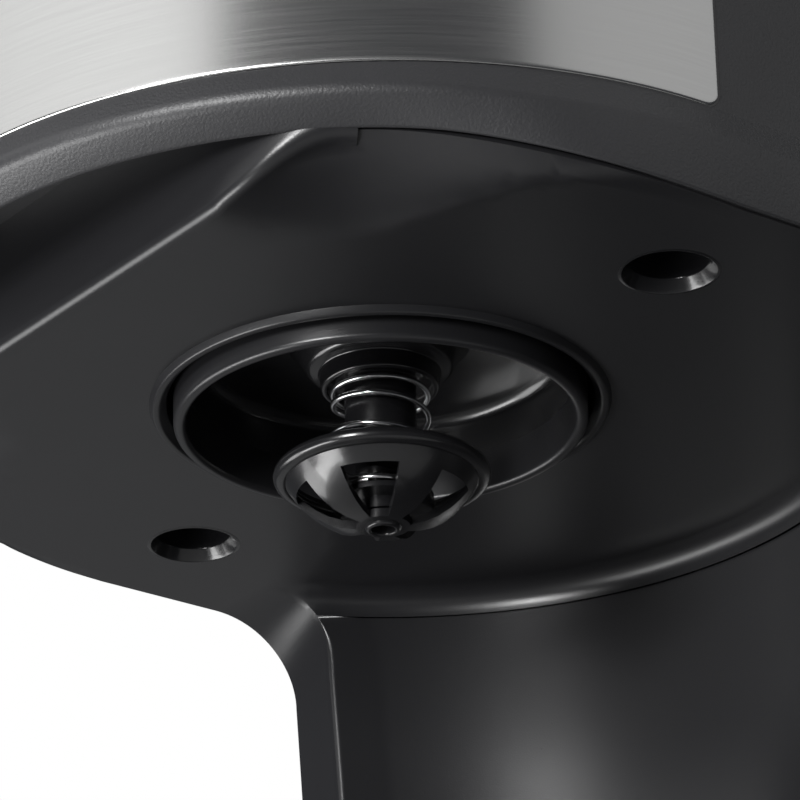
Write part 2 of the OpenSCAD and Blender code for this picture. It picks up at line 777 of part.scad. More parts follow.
base_shell();
base_cover();
rubber_feet();
base_screws();
jug_stand();
flow_heater();
heater_clamps();
thermostat();
thermal_fuse();
inlet_hose();
valve_housing();
valve_ball();
riser_hose();
hose_clips();
power_button();
button_bezel();
power_switch();
indicator_lens();
terminal_block();
cord_gland();
body_shell();
rear_cover();
bay_wall();
underside_plate();
underside_screws();
steel_band();
water_tank();
tank_strainer();
tank_seal();
gauge_tube();
level_window();
float_ball();
brew_chamber();
top_deck();
filter_basket();
basket_screw();
valve_stem();
valve_cap();
valve_seal();
valve_spring();
riser_spout();
spout_seal();
hinge_bridge();
hinge_pins();
lid_shell();
lid_liner();
shower_channel();
shower_plate();
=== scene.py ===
# Drip coffee maker, seen from below its brew head. Sizes are millimetres in the CAD model's
# own frame (Z up, front at -Y) until piece() turns them into metres.
import json
import math

import bmesh
import bpy
from mathutils import Matrix, Vector
from mathutils.geometry import delaunay_2d_cdt

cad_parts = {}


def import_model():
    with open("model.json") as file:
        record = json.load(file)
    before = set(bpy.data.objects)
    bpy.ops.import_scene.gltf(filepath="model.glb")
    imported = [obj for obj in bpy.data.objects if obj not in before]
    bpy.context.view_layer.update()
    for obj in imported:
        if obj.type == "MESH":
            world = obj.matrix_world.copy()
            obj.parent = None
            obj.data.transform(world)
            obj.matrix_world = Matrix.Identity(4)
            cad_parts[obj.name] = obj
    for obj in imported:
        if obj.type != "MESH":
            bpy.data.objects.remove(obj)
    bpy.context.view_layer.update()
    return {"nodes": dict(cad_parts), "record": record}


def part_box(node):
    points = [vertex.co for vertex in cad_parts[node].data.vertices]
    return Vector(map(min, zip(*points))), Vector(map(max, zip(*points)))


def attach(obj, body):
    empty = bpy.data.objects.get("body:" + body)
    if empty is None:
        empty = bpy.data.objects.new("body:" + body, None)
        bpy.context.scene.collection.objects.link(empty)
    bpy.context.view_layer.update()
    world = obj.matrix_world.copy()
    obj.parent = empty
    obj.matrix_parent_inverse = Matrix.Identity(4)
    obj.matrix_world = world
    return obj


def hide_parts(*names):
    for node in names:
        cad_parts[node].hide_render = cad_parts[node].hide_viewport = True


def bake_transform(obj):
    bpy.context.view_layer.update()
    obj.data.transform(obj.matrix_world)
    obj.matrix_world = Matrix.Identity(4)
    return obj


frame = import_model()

MM = 0.001
EPS = 1e-6


def low(node):
    """Lower corner of a node's box, in millimetres."""
    return [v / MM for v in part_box(node)[0]]


def high(node):
    """Upper corner of a node's box, in millimetres."""
    return [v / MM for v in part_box(node)[1]]


# ---------------------------------------------------------------- places, from the frame
HEAD_R = high("body_shell")[0]
BREW_Y = (low("filter_basket")[1] + high("filter_basket")[1]) / 2
COVER_Y = high("body_shell")[1]
BASE_Z = low("body_shell")[2]
BODY_Z = high("body_shell")[2]
BAND_LOW = low("steel_band")[2]
BAND_HIGH = high("steel_band")[2]
BAND_LIFT = 15.4                 # the band's lower edge above the underside
PLATE_Z = BAND_LOW - BAND_LIFT   # the flat underside

# Outer wall of the head
WALL_INSET = 1.4                 # how far the upper body wall stands back from the rim
INSET_END = 22                   # how far behind the brew axis the wall starts to come out again
INSET_FADE = 34                  # length over which it does
WALL_SEAM = 24                   # height above the underside where the wall's two strips meet
SHELL_T = 3.5                    # thickness of the wall at its edges
TOP_LIP = 14                     # height of the wall's inner face at the top
TOP_ROLL = 0.8                   # rounding of the top edge
SHOULDER_Z = PLATE_Z + 9         # where the wall's shoulder ends above the flat side
FADE_Y = BREW_Y + 60             # where the strips round the head end and the flat side goes on

# Rim below the band; angles are degrees from the front
RIM_TOP = 10.4                   # height of its outermost edge above the underside
RIM_TUCK = 5.5                   # how far its lower edge is tucked in at the front
TUCK_RISE = 0.57                 # height gained for each millimetre of tuck
RIM_WALL = 3.8                   # height of the lower edge at the front, less the tuck's part
FRONT_END = 50                   # where the front's tuck and height start to fade
LIP_BACK = 1.2                   # width of the rim's lower lip at the front
LINING_RISE = 0.4                # how far the lining's edge lies above the rim's at the front

# Jug bay
BAY_R = 70
BAY_Y = BREW_Y + 4.8
WALL_R = BAY_R + 0.5             # the bay wall, just outside the cove above it
WALL_START = 6                   # degrees from the cheek's inner edge to the bay wall's own strip
FILLET_R = 14
FILLET_Y = BREW_Y + 25.5         # where the underside starts to turn down
CHEEK_Y = BREW_Y + 41.5          # the cheek's outer edge
CHEEK_SKEW = 5.5 / 17.1          # how fast the cheek turns away towards the bay
COVE_R = 4
COVE_DROP = 4.1
BAY_LIP_DROP = 0.9               # the small lip between cove and bay wall
BAY_LIP_DEPTH = 1.1
BAY_LIP_FADE = 10                # degrees over which it grows from nothing
SWELL = 3                        # how far the column's front bulges between head and foot
OVERLAP = 0.3                    # how far a hidden edge runs on past the one in front of it
SIDE_X = 79.15                   # outer edge of the lining beside the skin
SIDE_STEP = 0.5                  # how far the skin's edge stands back from the lining's face
SIDE_ROLL = 0.4                  # rounding of the skin's edge beside the bay
SKIN_LIP = 1.0                   # width of the skin's lower edge at the side

# Basket hole, screw wells and front recess
HOLE_R = 31.7
BEAD_R = 34.3
WELL_X = 58.7
WELL_Y = BREW_Y + 7
WELL_R = 6.5
WELL_CHAMFER = 0.8
RIDGE_Y = BREW_Y - 55.2          # the straight middle of the ridge
RIDGE_X = 38                     # half its length
RIDGE_BEND = 20.3                # radius and angle of the bend at each end
RIDGE_TURN = 59.5
RIDGE_ROUND = 1.7                # rounding of the ridge in the middle and at the ends
RIDGE_END_ROUND = 3.4
RECESS_H = 20
RECESS_TURN = 51.5               # degrees from the front to the recess's ends
MARGIN_R = 55                    # radius where the underside starts to rise to the rim
MARGIN_CURVE = 1.8
EDGE_CLEAR = 0.8                 # least distance from the underside's edges to a point inside it


def clamp(t, a=0.0, b=1.0):
    return max(a, min(b, t))


def smooth(t):
    """0 up to t = 0, 1 from t = 1 on, and a soft step between them."""
    t = clamp(t)
    return t * t * (3 - 2 * t)


def mix(a, b, t):
    return a + (b - a) * t


# ---------------------------------------------------------------- materials
def nodes_of(mat):
    """A material's nodes, links and shader."""
    tree = mat.node_tree
    return tree.nodes, tree.links, tree.nodes["Principled BSDF"]


def plastic(name, colour, rough, grain=0.25, bump=0.12, spread=0.06, coat=0.0, tint=0.05):
    """Moulded plastic: a fine grain in the bump, and roughness and tone that vary slightly. grain is
    its size in millimetres; spread and tint are the variations of roughness and tone."""
    mat = bpy.data.materials.new(name)
    mat.use_nodes = True
    nodes, links, shader = nodes_of(mat)
    shader.inputs["Coat Weight"].default_value = coat
    shader.inputs["Coat Roughness"].default_value = 0.08
    shader.inputs["IOR"].default_value = 1.5
    coords = nodes.new("ShaderNodeTexCoord")
    fine = nodes.new("ShaderNodeTexNoise")
    fine.inputs["Scale"].default_value = 1 / (grain * MM)
    fine.inputs["Detail"].default_value = 3
    links.new(coords.outputs["Object"], fine.inputs["Vector"])
    broad = nodes.new("ShaderNodeTexNoise")
    broad.inputs["Scale"].default_value = 45
    broad.inputs["Detail"].default_value = 2
    links.new(coords.outputs["Object"], broad.inputs["Vector"])
    tone = nodes.new("ShaderNodeValToRGB")
    tone.color_ramp.elements[0].position = 0.3
    tone.color_ramp.elements[1].position = 0.7
    tone.color_ramp.elements[0].color = (*[c * (1 - tint) for c in colour], 1)
    tone.color_ramp.elements[1].color = (*[c * (1 + tint) for c in colour], 1)
    links.new(broad.outputs["Fac"], tone.inputs["Fac"])
    links.new(tone.outputs["Color"], shader.inputs["Base Color"])
    polish = nodes.new("ShaderNodeMapRange")
    polish.inputs["To Min"].default_value = rough - spread
    polish.inputs["To Max"].default_value = rough + spread
    links.new(fine.outputs["Fac"], polish.inputs["Value"])
    links.new(polish.outputs["Result"], shader.inputs["Roughness"])
    relief = nodes.new("ShaderNodeBump")
    relief.inputs["Strength"].default_value = bump
    relief.inputs["Distance"].default_value = 0.1 * MM
    links.new(fine.outputs["Fac"], relief.inputs["Height"])
    links.new(relief.outputs["Normal"], shader.inputs["Normal"])
    return mat


def metal(name, colour, rough, scale, bump, stretch=(1, 1, 1), anisotropy=0.0):
    """Metal with fine scratches stretched along one direction."""
    mat = bpy.data.materials.new(name)
    mat.use_nodes = True
    nodes, links, shader = nodes_of(mat)
    shader.inputs["Metallic"].default_value = 1
    shader.inputs["Anisotropic"].default_value = anisotropy
    coords = nodes.new("ShaderNodeTexCoord")
    stretched = nodes.new("ShaderNodeMapping")
    stretched.inputs["Scale"].default_value = stretch
    links.new(coords.outputs["Object"], stretched.inputs["Vector"])
    scratch = nodes.new("ShaderNodeTexNoise")
    scratch.inputs["Scale"].default_value = scale
    scratch.inputs["Detail"].default_value = 4
    links.new(stretched.outputs["Vector"], scratch.inputs["Vector"])
    tone = nodes.new("ShaderNodeValToRGB")
    tone.color_ramp.elements[0].color = (*[c * 0.86 for c in colour], 1)
    tone.color_ramp.elements[1].color = (*colour, 1)
    links.new(scratch.outputs["Fac"], tone.inputs["Fac"])
    links.new(tone.outputs["Color"], shader.inputs["Base Color"])
    polish = nodes.new("ShaderNodeMapRange")
    polish.inputs["To Min"].default_value = rough * 0.8
    polish.inputs["To Max"].default_value = rough * 1.2
    links.new(scratch.outputs["Fac"], polish.inputs["Value"])
    links.new(polish.outputs["Result"], shader.inputs["Roughness"])
    relief = nodes.new("ShaderNodeBump")
    relief.inputs["Strength"].default_value = bump
    relief.inputs["Distance"].default_value = 0.05 * MM
    links.new(scratch.outputs["Fac"], relief.inputs["Height"])
    links.new(relief.outputs["Normal"], shader.inputs["Normal"])
    return mat


def clear(name, colour):
    """Clear plastic."""
    mat = plastic(name, colour, 0.08, grain=0.8, bump=0.02, spread=0.02)
    shader = nodes_of(mat)[2]
    shader.inputs["Transmission Weight"].default_value = 0.9
    shader.inputs["IOR"].default_value = 1.45
    return mat


MATERIALS = {
    "charcoal_shell": plastic("charcoal_shell", (0.03, 0.03, 0.032), 0.42, grain=0.42, bump=0.6,
                              spread=0.1),
    "black_liner": plastic("black_liner", (0.012, 0.012, 0.0132), 0.31, grain=0.25, bump=0.12),
    "gloss_black": plastic("gloss_black", (0.008, 0.008, 0.0088), 0.24, grain=0.5, bump=0.05, spread=0.04,
                           coat=0.25),
    "brushed_steel": metal("brushed_steel", (0.62, 0.62, 0.61), 0.24, scale=60, bump=0.1,
                           stretch=(1, 1, 60), anisotropy=0.5),
    "bright_steel": metal("bright_steel", (0.72, 0.72, 0.73), 0.2, scale=500, bump=0.04),
    "heater_aluminium": metal("heater_aluminium", (0.55, 0.55, 0.56), 0.45, scale=900, bump=0.3),
    "silicone": plastic("silicone", (0.42, 0.42, 0.4), 0.5, grain=0.8, bump=0.05),
    "black_rubber": plastic("black_rubber", (0.016, 0.016, 0.016), 0.7, grain=0.35, bump=0.3),
    "clear_plastic": clear("clear_plastic", (0.75, 0.77, 0.78)),
    "grey_plastic": plastic("grey_plastic", (0.12, 0.12, 0.12), 0.45, grain=0.3, bump=0.15),
    "white_plastic": plastic("white_plastic", (0.62, 0.61, 0.57), 0.42, grain=0.3, bump=0.12),
    "red_plastic": plastic("red_plastic", (0.45, 0.03, 0.02), 0.3, grain=0.4, bump=0.05),
}


# ---------------------------------------------------------------- mesh helpers
def rounded(points, steps=5):
    """A polyline of (u, v, radius) with each inner corner turned into an arc. The number of points
    returned depends only on the number given, so that profiles can be joined into a sweep."""
    out = []
    for i, (u, v, r) in enumerate(points):
        if i in (0, len(points) - 1) or r == 0:
            out.append((u, v))
            continue
        p = Vector((u, v))
        a = Vector(points[i - 1][:2]) - p
        b = Vector(points[i + 1][:2]) - p
        half = a.angle(b, math.pi) / 2 if a.length > EPS and b.length > EPS else math.pi / 2
        if half > math.radians(89.5) or half < math.radians(1):      # straight on, or folded back
            out += [(u, v)] * (steps + 1)
            continue
        cut = min(r / math.tan(half), 0.48 * a.length, 0.48 * b.length)
        arc_r = cut * math.tan(half)
        a.normalize()
        b.normalize()
        centre = p + (a + b).normalized() * (arc_r / math.sin(half))
        start = p + a * cut - centre
        end = p + b * cut - centre
        turn = math.atan2(start.x * end.y - start.y * end.x, start.dot(end))
        for k in range(steps + 1):
            c, s = math.cos(turn * k / steps), math.sin(turn * k / steps)
            out.append((centre.x + start.x * c - start.y * s, centre.y + start.x * s + start.y * c))
    return out


def grid(rows, cols, wrap=False):
    """Faces of a grid of rows x cols points, row by row. wrap joins the last row to the first."""
    faces = []
    for i in range(rows if wrap else rows - 1):
        n = (i + 1) % rows
        faces += [(i * cols + k, i * cols + k + 1, n * cols + k + 1, n * cols + k) for k in range(cols - 1)]
    return faces


class Shape:
    """Points and faces that one piece is built up from."""

    def __init__(self):
        self.points = []
        self.faces = []

    def add(self, points, faces):
        first = len(self.points)
        self.points += [tuple(p) for p in points]
        self.faces += [tuple(first + k for k in face) for face in faces]
        return self

    def strip(self, lines, wrap=False):
        """A surface through lines of points that all have the same number of points."""
        return self.add([p for line in lines for p in line], grid(len(lines), len(lines[0]), wrap))

    def both_sides(self):
        """Adds the mirror image across the machine's middle plane."""
        count = len(self.points)
        self.points += [(-x, y, z) for x, y, z in self.points]
        self.faces += [tuple(count + k for k in reversed(face)) for face in self.faces]
        return self


def piece(name, shape, slot, body="machine", replaces=(), sharp=32, weld=0.004):
    """Makes a mesh piece from a Shape in millimetres and puts it on its body, if it has one. Edges
    sharper than `sharp` degrees stay hard, and points closer than `weld` are merged."""
    mesh = bpy.data.meshes.new(name)
    mesh.from_pydata([Vector(p) * MM for p in shape.points], [], shape.faces)
    work = bmesh.new()
    work.from_mesh(mesh)
    bmesh.ops.remove_doubles(work, verts=work.verts, dist=weld * MM)
    bmesh.ops.dissolve_degenerate(work, edges=work.edges, dist=weld * MM * 0.5)
    bmesh.ops.recalc_face_normals(work, faces=work.faces)
    work.to_mesh(mesh)
    work.free()
    mesh.polygons.foreach_set("use_smooth", [True] * len(mesh.polygons))
    mesh.set_sharp_from_angle(angle=math.radians(sharp))
    obj = bpy.data.objects.new(name, mesh)
    bpy.context.scene.collection.objects.link(obj)
    mesh.materials.append(MATERIALS[slot])
    if body:
        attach(obj, body)
    if replaces:
        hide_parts(*replaces)
    return obj


def lathe(shape, profile, centre=(0, BREW_Y), steps=144):
    """Adds a surface of revolution about a vertical axis, from a profile of (radius, z)."""
    lines = []
    for i in range(steps):
        a = 2 * math.pi * i / steps
        lines.append([(centre[0] + r * math.cos(a), centre[1] + r * math.sin(a), z) for r, z in profile])
    shape.strip(lines, wrap=True)


def encloses(loop, x, y):
    """True when the point lies inside the closed loop."""
    odd = False
    for (x0, y0), (x1, y1) in zip(loop, loop[1:] + loop[:1]):
        if (y0 > y) != (y1 > y) and x < x0 + (y - y0) / (y1 - y0) * (x1 - x0):
            odd = not odd
    return odd


def fill(loops, inner=()):
    """Triangles inside the first loop and outside the others, in plan. inner are extra points."""
    points, edges = [], []
    for loop in loops:
        first = len(points)
        points += [Vector(p[:2]) for p in loop]
        edges += [(first + i, first + (i + 1) % len(loop)) for i in range(len(loop))]
    points += [Vector(p) for p in inner]
    verts, _, faces, *_ = delaunay_2d_cdt(points, edges, [], 1, 1e-5)
    kept = []
    for face in faces:
        x = sum(verts[k].x for k in face) / len(face)
        y = sum(verts[k].y for k in face) / len(face)
        if not any(encloses(loop, x, y) for loop in loops[1:]):
            kept.append(face)
    return verts, kept


def polar(x, y):
    """(radius, degrees from the front) about the brew axis."""
    return math.hypot(x, y - BREW_Y), math.degrees(math.atan2(abs(x), BREW_Y - y))


def u_path(back_y, step, turn_step=2):
    """The outer face in plan from the right side at back_y round the front to the left side:
    (x, y, normal x, normal y)."""
    count = max(1, round((back_y - BREW_Y) / step))
    side = [(HEAD_R, mix(back_y, BREW_Y, i / count), 1, 0) for i in range(count)]
    front = []
    for i in range(0, 180 + turn_step, turn_step):
        a = math.radians(90 - i)
        front.append((HEAD_R * math.sin(a), BREW_Y - HEAD_R * math.cos(a), math.sin(a), -math.cos(a)))
    return side + front + [(-x, y, -nx, ny) for x, y, nx, ny in reversed(side)]


def place(point, inset, z):
    """The point inset millimetres behind the outer face at this height."""
    x, y, nx, ny = point
    return (x - nx * inset, y - ny * inset, z)


# ---------------------------------------------------------------- the rim, the underside and the bay
def rim_edge(theta):
    """Radius and height of the rim's lower edge, theta degrees from the front. It is tucked in and
    raised round the front, and runs down to the underside's level at the sides."""
    tuck = RIM_TUCK * (1 - smooth((theta - FRONT_END) / 30))
    wall = mix(RIM_WALL, SIDE_STEP, smooth((theta - FRONT_END) / 45))
    return HEAD_R - tuck, PLATE_Z + wall + tuck * TUCK_RISE


def lining_edge(theta):
    """Radius and height of the lining's outer edge, close under the rim's lower edge."""
    r, z = rim_edge(theta)
    rise = mix(LINING_RISE, -SIDE_STEP, smooth((theta - FRONT_END) / 26))
    return r - HEAD_R + SIDE_X, max(PLATE_Z, z + rise)


def rim_profile(point):
    """The body's outer wall from the shoulder down over the rim and in behind its lip, as
    (depth behind the head's outline, height)."""
    x, y = point[0], point[1]
    theta = polar(x, y)[1]
    r, z = rim_edge(theta)
    tuck = HEAD_R - r
    side = smooth((theta - FRONT_END) / 40)
    wall = upper_inset(y)
    return rounded([
        (wall, PLATE_Z + WALL_SEAM, 0),
        (wall, PLATE_Z + BAND_LIFT, 1.5),
        (0, PLATE_Z + RIM_TOP, 2.2),
        (tuck, z, mix(0.9, SIDE_ROLL, side)),
        (tuck + mix(LIP_BACK, SKIN_LIP, side), z + 2.5 * (1 - side), 0.2),
        (tuck + mix(1.5, SKIN_LIP + 0.3, side), z + 6, 0),
    ])


SHOULDER_POINTS = 13             # points of rim_profile down to the end of its shoulder


def upper_inset(y):
    """The wall above the rim stands back, and comes out again beside the column."""
    return WALL_INSET * (1 - smooth((y - (BREW_Y + INSET_END)) / INSET_FADE))


def cheek_line(t):
    """Side view of the underside, fillet, column front and foot fillet at the outer edge.
    t runs 0..1 over the head fillet, 1..2 down the column and 2..3 over the foot fillet."""
    reach = CHEEK_Y - FILLET_Y
    if t <= 1:
        a = math.radians(90 * t)
        return FILLET_Y + reach * math.sin(a), PLATE_Z - FILLET_R * (1 - math.cos(a))
    top, foot = PLATE_Z - FILLET_R, BASE_Z + FILLET_R
    if t <= 2:
        s = t - 1
        return CHEEK_Y + SWELL * math.sin(math.pi * s), mix(top, foot, s)
    a = math.radians(90 * (t - 2))
    return FILLET_Y + reach * math.cos(a), BASE_Z + FILLET_R * (1 - math.sin(a))


def cheek_inner(t):
    """The cheek's inner edge at t: it lies on the bay's cylinder."""
    y_out, z = cheek_line(t)
    skew = CHEEK_SKEW * cheek_weight(t)
    x = 66.4                     # a first guess, which each round brings closer
    for _ in range(30):
        y = y_out - (HEAD_R - x) * skew
        x = math.sqrt(BAY_R ** 2 - (y - BAY_Y) ** 2)
    return x, y, z


def cheek_weight(t):
    """How much of the cheek's skew there is at t: none where it meets the underside and the base."""
    if t < 1:
        return smooth(t)
    return 1.0 if t <= 2 else smooth(3 - t)


def bay_angle(x, y):
    """Degrees about the bay's axis, from +X."""
    return math.degrees(math.atan2(y - BAY_Y, x))


def bay_point(angle, r, z):
    """The point at this angle and radius about the bay's axis."""
    a = math.radians(angle)
    return (r * math.cos(a), BAY_Y + r * math.sin(a), z)


def spaced(a, b, count):
    """count + 1 even steps from a to b."""
    return [mix(a, b, i / count) for i in range(count + 1)]


CHEEK_T = [0, 0.006, 0.014, 0.025] + spaced(0, 1, 24)[1:] + spaced(1, 2, 26)[1:] + spaced(2, 3, 12)[1:]
INNER_EDGE = [cheek_inner(t) for t in CHEEK_T]
# Where the cove's full depth meets the fillet: the bay wall and its corner start there.
CORNER_FIRST = next(i for i, p in enumerate(INNER_EDGE) if p[2] < PLATE_Z - COVE_DROP)
# The cove and the lip below it share these angles about the bay's axis, so that their edges meet.
COVE_ANGLES = [bay_angle(x, y) for x, y, z in INNER_EDGE[:CORNER_FIRST + 1]]
COVE_ANGLES += spaced(COVE_ANGLES[-1], 90, 44)[1:]


def cove_depth(angle):
    """How far the underside's rear edge drops at this angle about the bay's axis."""
    angle = min(angle, 180 - angle)
    edge = [(bay_angle(x, y), PLATE_Z - z) for x, y, z in INNER_EDGE[:CORNER_FIRST + 1]]
    if angle <= edge[0][0]:
        return 0
    for (a0, d0), (a1, d1) in zip(edge, edge[1:]):
        if a0 <= angle <= a1:
            return mix(d0, d1, (angle - a0) / (a1 - a0))
    return edge[-1][1]


def plate_height(x, y):
    """Height of the underside: flat, with a front margin that rises to the rim."""
    r, theta = polar(x, y)
    edge_r, edge_z = lining_edge(theta)
    start = mix(MARGIN_R, edge_r - 1.4, smooth((theta - 48) / 28))
    rise = clamp((r - start) / (edge_r - start)) ** MARGIN_CURVE
    return PLATE_Z + (edge_z - PLATE_Z) * smooth((theta - 32) / 18) * rise


def ridge_path():
    """Right half of the ridge from the middle to the rim: (x, y, z, normal x, normal y). The last
    run closes the recess straight outwards, with no normal."""
    line = [(x, RIDGE_Y, PLATE_Z, 0, -1) for x in spaced(0, RIDGE_X, 10)]
    for a in spaced(0, RIDGE_TURN, 12)[1:]:
        c, s = math.cos(math.radians(a)), math.sin(math.radians(a))
        x, y = RIDGE_X + RIDGE_BEND * s, RIDGE_Y + RIDGE_BEND * (1 - c)
        line.append((x, y, plate_height(x, y), s, -c))
    x, y = line[-1][:2]
    r, theta = polar(x, y)
    c, s = math.cos(math.radians(theta)), math.sin(math.radians(theta))
    for reach in spaced(r, lining_edge(theta)[0] + OVERLAP, 4)[1:]:
        x, y = reach * s, BREW_Y - reach * c
        line.append((x, y, plate_height(x, y), 0, 0))
    return line


def plate_edge():
    """Right half of the underside's outer edge in plan, from the ridge's middle to the cove."""
    ridge = [(p[0], p[1]) for p in ridge_path()]
    side = [(SIDE_X, mix(BREW_Y, FILLET_Y, i / 8)) for i in range(1, 9)]
    x_in = INNER_EDGE[0][0]
    front = [(mix(SIDE_X, x_in, i / 12), FILLET_Y) for i in range(1, 13)]
    into = [bay_point(COVE_ANGLES[0], r, 0)[:2] for r in spaced(BAY_R, BAY_R - COVE_R, 8)[1:]]
    arc = [bay_point(a, BAY_R - COVE_R, 0)[:2] for a in COVE_ANGLES[1:]]
    return ridge + margin_line() + side + front + into + arc


def margin_line():
    """The lining's right edge in plan from the ridge's end to the side."""
    start = polar(*ridge_path()[-1][:2])[1]
    line = []
    for theta in [start + 0.2] + spaced(start, 90, 40)[1:]:
        a = math.radians(theta)
        r = lining_edge(theta)[0]
        line.append((r * math.sin(a), BREW_Y - r * math.cos(a)))
    return line


def add_margin_wall(shape):
    """The lining's outer edge, rolled upwards into the gap behind the skin."""
    lines = []
    side = [(SIDE_X, mix(BREW_Y, FILLET_Y + OVERLAP, i / 8)) for i in range(1, 9)]
    roll = ((0, 0), (0.03, 0.12), (0.6, 0.9), (0.8, 3))        # (inwards, upwards)
    for x, y in margin_line() + side:
        theta = min(polar(x, y)[1], 90)
        a = math.radians(theta)
        nx, ny = (math.sin(a), -math.cos(a)) if y < BREW_Y else (1, 0)
        z = plate_height(x, y) if y < BREW_Y else PLATE_Z
        lines.append([(x - nx * d, y - ny * d, z + h) for d, h in roll])
    wall = Shape().strip(lines).both_sides()
    shape.add(wall.points, wall.faces)


def add_cove(shape):
    """The rounded rear edge of the underside, where it turns down to the bay wall."""
    lines = []
    for a in COVE_ANGLES + [180 - a for a in reversed(COVE_ANGLES[:-1])]:
        depth = cove_depth(a)
        full = mix(25, 90, smooth(depth / COVE_DROP))
        reach, drop = math.sin(math.radians(full)), 1 - math.cos(math.radians(full))
        line = []
        for turn in spaced(0, full, 12):
            c, s = math.cos(math.radians(turn)), math.sin(math.radians(turn))
            line.append(bay_point(a, BAY_R - COVE_R + COVE_R * s / reach,
                                  PLATE_Z - depth * (1 - c) / drop))
        lines.append(line)
    shape.strip(lines)


def ring_points(centre, r, count):
    """Points of a circle in plan."""
    return [(centre[0] + r * math.cos(2 * math.pi * i / count),
             centre[1] + r * math.sin(2 * math.pi * i / count)) for i in range(count)]


def underside():
    """The whole lining under the head: plate, ridge, cove, fillets, cheeks and bay wall."""
    shape = Shape()
    half = plate_edge()
    outer = half + [(-x, y) for x, y in reversed(half[1:-1])]
    wells = [ring_points((s * WELL_X, WELL_Y), WELL_R + WELL_CHAMFER, 64) for s in (-1, 1)]
    inner = []
    for i in range(180):
        a = math.radians(2 * i)
        dx, dy = math.cos(a), math.sin(a)
        for r in spaced(BEAD_R + 2, 80, 32):
            inner.append((r * dx, BREW_Y + r * dy))
    kept = [p for p in inner if keep_point(p)]
    verts, faces = fill([outer, ring_points((0, BREW_Y), BEAD_R, 144)] + wells, kept)
    shape.add([(v.x, v.y, plate_height(v.x, v.y)) for v in verts], faces)
    add_ridge(shape)
    add_margin_wall(shape)
    add_cove(shape)
    add_cheeks(shape)
    add_bay_wall(shape)
    return piece("jug_bay_lining", shape, "black_liner", replaces=("underside_plate", "bay_wall"), sharp=40,
                 weld=0.02)


def keep_point(p):
    """True for a point well inside the underside's outline and clear of its holes."""
    x, y = p
    r, theta = polar(x, y)
    if min(math.hypot(x - s * WELL_X, y - WELL_Y) for s in (-1, 1)) < WELL_R + 2 * WELL_CHAMFER:
        return False
    if y < RIDGE_Y + EDGE_CLEAR:
        return False
    if theta < 52 and abs(x) > RIDGE_X:
        bend = math.hypot(abs(x) - RIDGE_X, y - RIDGE_Y - RIDGE_BEND)
        if bend > RIDGE_BEND - EDGE_CLEAR and y < RIDGE_Y + RIDGE_BEND * 0.6:
            return False
    if theta <= 90:
        return r < lining_edge(theta)[0] - EDGE_CLEAR
    if bay_angle(abs(x), y) > COVE_ANGLES[0] - 1:
        return math.hypot(x, y - BAY_Y) < BAY_R - COVE_R - EDGE_CLEAR
    return abs(x) < SIDE_X - EDGE_CLEAR and y < FILLET_Y - EDGE_CLEAR


def add_ridge(shape):
    """The rounded ridge and the upright wall of the front recess behind it, and its ceiling."""
    right = ridge_path()
    path = [(-x, y, z, -nx, ny) for x, y, z, nx, ny in reversed(right[1:])] + right
    lines = []
    for x, y, z, nx, ny in path:
        line = [(x, y, z)]
        roll = mix(RIDGE_ROUND, RIDGE_END_ROUND, smooth((abs(x) - RIDGE_X - 4) / 14))
        for a in spaced(0, 90, 8)[1:]:
            out = roll * math.sin(math.radians(a))
            line.append((x + nx * out, y + ny * out, z + roll * (1 - math.cos(math.radians(a)))))
        out = roll + OVERLAP
        line += [(x + nx * out, y + ny * out, PLATE_Z + h) for h in (10, RECESS_H)]
        lines.append(line)
    shape.strip(lines)
    back = [line[-1] for line in lines]
    front = []
    for theta in spaced(-RECESS_TURN, RECESS_TURN, 40):
        a = math.radians(theta)
        r = rim_edge(abs(theta))[0] - LIP_BACK
        front.append((r * math.sin(a), BREW_Y - r * math.cos(a), PLATE_Z + RECESS_H))
    verts, faces = fill([back + list(reversed(front))])
    shape.add([(v.x, v.y, PLATE_Z + RECESS_H) for v in verts], faces)


def corner_radius(z):
    """Rounding of the corner between cheek and bay wall, which grows below the cove."""
    return 1.1 * smooth((PLATE_Z - COVE_DROP - z) / 5)


HEAD_ROW = 16                    # points of cheek_row that lie on the cheek's own face


def cheek_row(i):
    """One line across the right cheek from its outer edge, and, where the bay wall has started,
    round its inner corner to the wall."""
    t = CHEEK_T[i]
    x_in, y_in, z = INNER_EDGE[i]
    y_out = cheek_line(t)[0]
    skew = CHEEK_SKEW * cheek_weight(t)
    y_edge = y_out - (HEAD_R - SIDE_X) * skew
    dy, dz = fillet_normal(t)
    behind = ((0.8, 3), (0.6, 0.9), (0.03, 0.12))            # (inwards, back from the face)
    row = [(SIDE_X - d, y_edge - dy * h, z - dz * h) for d, h in behind]
    corner = None
    x_end = x_in
    if i >= CORNER_FIRST:
        wall = bay_point(bay_angle(x_in, y_in) + WALL_START, WALL_R, z)
        corner = rounded([(SIDE_X, y_edge, 0),
                          (x_in, y_in, max(0.01, corner_radius(z))), (wall[0], wall[1], 0)], 6)
        x_end = corner[1][0]
    for s in spaced(0, 1, 12):
        x = mix(SIDE_X, x_end, s)
        row.append((x, y_out - (HEAD_R - x) * skew, z))
    if corner:
        row += [(x, y, z) for x, y in corner[2:]]
    return row


def fillet_normal(t):
    """Outward normal of the cheek line in side view."""
    (y0, z0), (y1, z1) = cheek_line(max(0, t - 0.01)), cheek_line(min(3, t + 0.01))
    length = math.hypot(y1 - y0, z1 - z0)
    return (z1 - z0) / length, -(y1 - y0) / length


def add_cheeks(shape):
    """The two fronts of the column beside the bay, from the underside down to the base."""
    rows = [cheek_row(i) for i in range(len(CHEEK_T))]
    head = [row[:HEAD_ROW] for row in rows[:CORNER_FIRST + 1]]
    column = rows[CORNER_FIRST:]
    side = Shape()
    side.strip(head)
    side.strip(column)
    side.both_sides()
    shape.add(side.points, side.faces)


